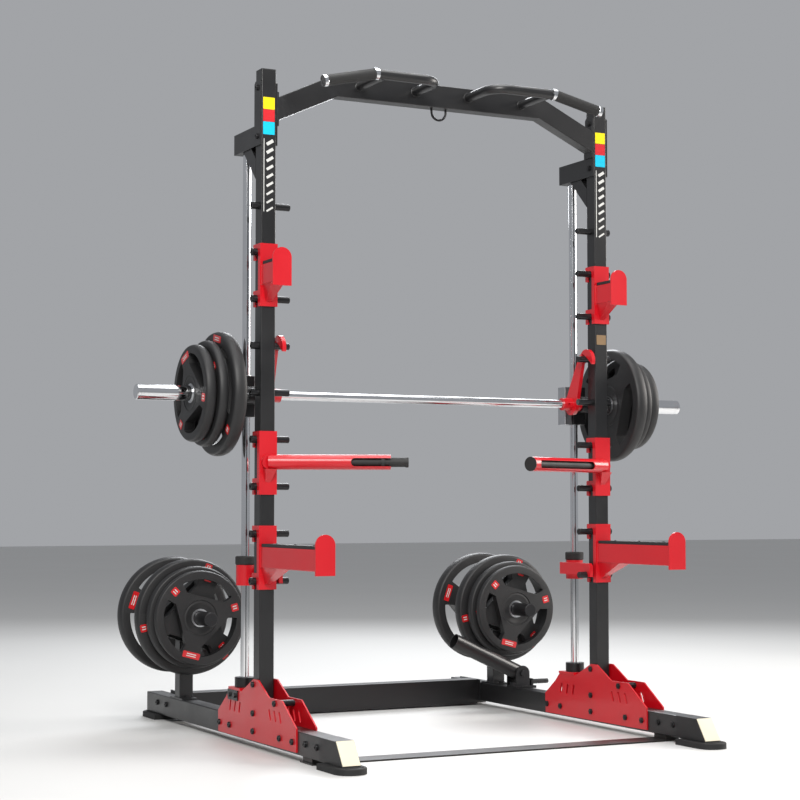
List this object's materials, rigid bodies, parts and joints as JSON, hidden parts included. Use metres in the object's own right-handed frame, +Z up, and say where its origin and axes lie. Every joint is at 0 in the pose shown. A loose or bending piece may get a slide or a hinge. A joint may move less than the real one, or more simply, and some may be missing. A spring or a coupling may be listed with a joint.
{
  "type": "power cage",
  "caption": "Half rack with a guided bar on two rods, hook-on rests, arms and dip handles, pull-up grips, plate storage and a swivelling bar pivot",
  "frame": {"origin": "Middle of the footprint's bounding box, on the floor.", "axes": "+X runs along the bar to the landmine side, +Y to the plate storage at the back, +Z up."},
  "size_m": [2.06, 1.7498, 2.177],
  "materials": {
    "frame_paint": "satin black powder coat",
    "cast_shoe": "satin black",
    "pale_plate": "pale reflecting face",
    "rubber": "matt black rubber",
    "bare_steel": "dark satin",
    "cap_plastic": "moulded black",
    "black_oxide": "black oxide, slight sheen",
    "red_paint": "gloss red powder coat",
    "hook_red": "gloss red powder coat",
    "chrome": "polished chrome",
    "grip_rubber": "matt black rubber",
    "loop_steel": "zinc plated",
    "block_aluminium": "machined",
    "plate_rubber": "black rubber coat",
    "wear_pad": "black wear plastic",
    "landmine_black": "satin black"
  },
  "bodies": {
    "frame": {"base_beams": "frame_paint", "rear_cross_beam": "frame_paint", "floor_strip": "bare_steel", "front_shoes": "cast_shoe", "nose_plates": "pale_plate", "rubber_feet": "rubber", "upright_left": "frame_paint", "upright_right": "frame_paint", "tube_caps": "cap_plastic", "gussets_left": "red_paint", "gussets_right": "red_paint", "frame_bolts": "black_oxide", "rod_seats": "red_paint", "rod_clamps": "black_oxide", "top_brackets": "frame_paint", "guide_rods": "chrome", "pegs": "black_oxide", "pull_up_beam": "frame_paint", "pull_up_handles": "frame_paint", "pull_up_grips": "grip_rubber", "grip_rings": "chrome", "anchor_loop": "black_oxide", "storage_posts": "frame_paint", "storage_pegs": "black_oxide", "landmine_base": "black_oxide"},
    "carriage": {"carriages": "block_aluminium", "carriage_bearings": "loop_steel", "bar_housings": "black_oxide"},
    "bar": {"bar_shaft": "chrome", "bar_hooks": "hook_red", "hook_collars": "red_paint"},
    "sleeve_l": {"sleeve_left": "chrome", "bar_plates_left": "plate_rubber"},
    "sleeve_r": {"sleeve_right": "chrome", "bar_plates_right": "plate_rubber"},
    "landmine_swivel": {"landmine_yoke": "black_oxide", "landmine_bolt": "black_oxide"},
    "landmine_arm": {"landmine_tube": "landmine_black"},
    "landmine_pin": {"landmine_lock": "landmine_black"},
    "stop_l": {"stop_left": "red_paint", "stop_bumper_left": "rubber"},
    "j_cup_l": {"j_cup_left": "red_paint", "j_cup_pad_left": "wear_pad"},
    "dip_l": {"dip_handle_left": "red_paint", "dip_grip_left": "grip_rubber"},
    "spotter_l": {"spotter_arm_left": "red_paint", "spotter_pad_left": "wear_pad"},
    "stored_l": {"stored_plates_left": "plate_rubber"},
    "rear_l": {"rear_plate_left": "plate_rubber"},
    "stop_r": {"stop_right": "red_paint", "stop_bumper_right": "rubber"},
    "j_cup_r": {"j_cup_right": "red_paint", "j_cup_pad_right": "wear_pad"},
    "dip_r": {"dip_handle_right": "red_paint", "dip_grip_right": "grip_rubber"},
    "spotter_r": {"spotter_arm_right": "red_paint", "spotter_pad_right": "wear_pad"},
    "stored_r": {"stored_plates_right": "plate_rubber"},
    "rear_r": {"rear_plate_right": "plate_rubber"}
  },
  "joints": [
    {"name": "bar_lift", "type": "slide", "parent": "frame", "child": "carriage", "axis": [0, 0, 1], "range_m": [0, 0.09]},
    {"name": "bar_turn", "type": "hinge", "parent": "carriage", "child": "bar", "pos_m": [0, -0.092, 1.122], "axis": [-1, 0, 0], "range_deg": [0, 30]},
    {"name": "sleeve_left_spin", "type": "hinge", "parent": "bar", "child": "sleeve_l", "pos_m": [-0.78, -0.092, 1.122], "axis": [1, 0, 0], "continuous": true},
    {"name": "sleeve_right_spin", "type": "hinge", "parent": "bar", "child": "sleeve_r", "pos_m": [0.78, -0.092, 1.122], "axis": [1, 0, 0], "continuous": true},
    {"name": "stop_left_lift", "type": "slide", "parent": "frame", "child": "stop_l", "axis": [0, 0, 1], "range_m": [0, 0.08]},
    {"name": "j_cup_left_lift", "type": "slide", "parent": "frame", "child": "j_cup_l", "axis": [0, 0, 1], "range_m": [0, 0.06]},
    {"name": "dip_left_lift", "type": "slide", "parent": "frame", "child": "dip_l", "axis": [0, 0, 1], "range_m": [0, 0.06]},
    {"name": "spotter_left_lift", "type": "slide", "parent": "frame", "child": "spotter_l", "axis": [0, 0, 1], "range_m": [0, 0.06]},
    {"name": "stored_plates_left_turn", "type": "hinge", "parent": "frame", "child": "stored_l", "pos_m": [-0.63, 0.44, 0.378], "axis": [0, 1, 0], "continuous": true},
    {"name": "rear_plate_left_turn", "type": "hinge", "parent": "frame", "child": "rear_l", "pos_m": [-0.63, 0.657, 0.378], "axis": [0, 1, 0], "continuous": true},
    {"name": "stop_right_lift", "type": "slide", "parent": "frame", "child": "stop_r", "axis": [0, 0, 1], "range_m": [0, 0.08]},
    {"name": "j_cup_right_lift", "type": "slide", "parent": "frame", "child": "j_cup_r", "axis": [0, 0, 1], "range_m": [0, 0.06]},
    {"name": "dip_right_lift", "type": "slide", "parent": "frame", "child": "dip_r", "axis": [0, 0, 1], "range_m": [0, 0.06]},
    {"name": "spotter_right_lift", "type": "slide", "parent": "frame", "child": "spotter_r", "axis": [0, 0, 1], "range_m": [0, 0.06]},
    {"name": "stored_plates_right_turn", "type": "hinge", "parent": "frame", "child": "stored_r", "pos_m": [0.63, 0.44, 0.378], "axis": [0, 1, 0], "continuous": true},
    {"name": "rear_plate_right_turn", "type": "hinge", "parent": "frame", "child": "rear_r", "pos_m": [0.63, 0.657, 0.378], "axis": [0, 1, 0], "continuous": true},
    {"name": "landmine_swivel_turn", "type": "hinge", "parent": "frame", "child": "landmine_swivel", "pos_m": [0.615, 0.345, 0.1], "axis": [0, 0, 1], "range_deg": [0, 90]},
    {"name": "landmine_tilt", "type": "hinge", "parent": "landmine_swivel", "child": "landmine_arm", "pos_m": [0.615, 0.345, 0.145], "axis": [0, 1, 0], "range_deg": [-10, 40]},
    {"name": "landmine_pin_pull", "type": "slide", "parent": "frame", "child": "landmine_pin", "axis": [1, 0, 0], "range_m": [0, 0.02]}
  ]
}
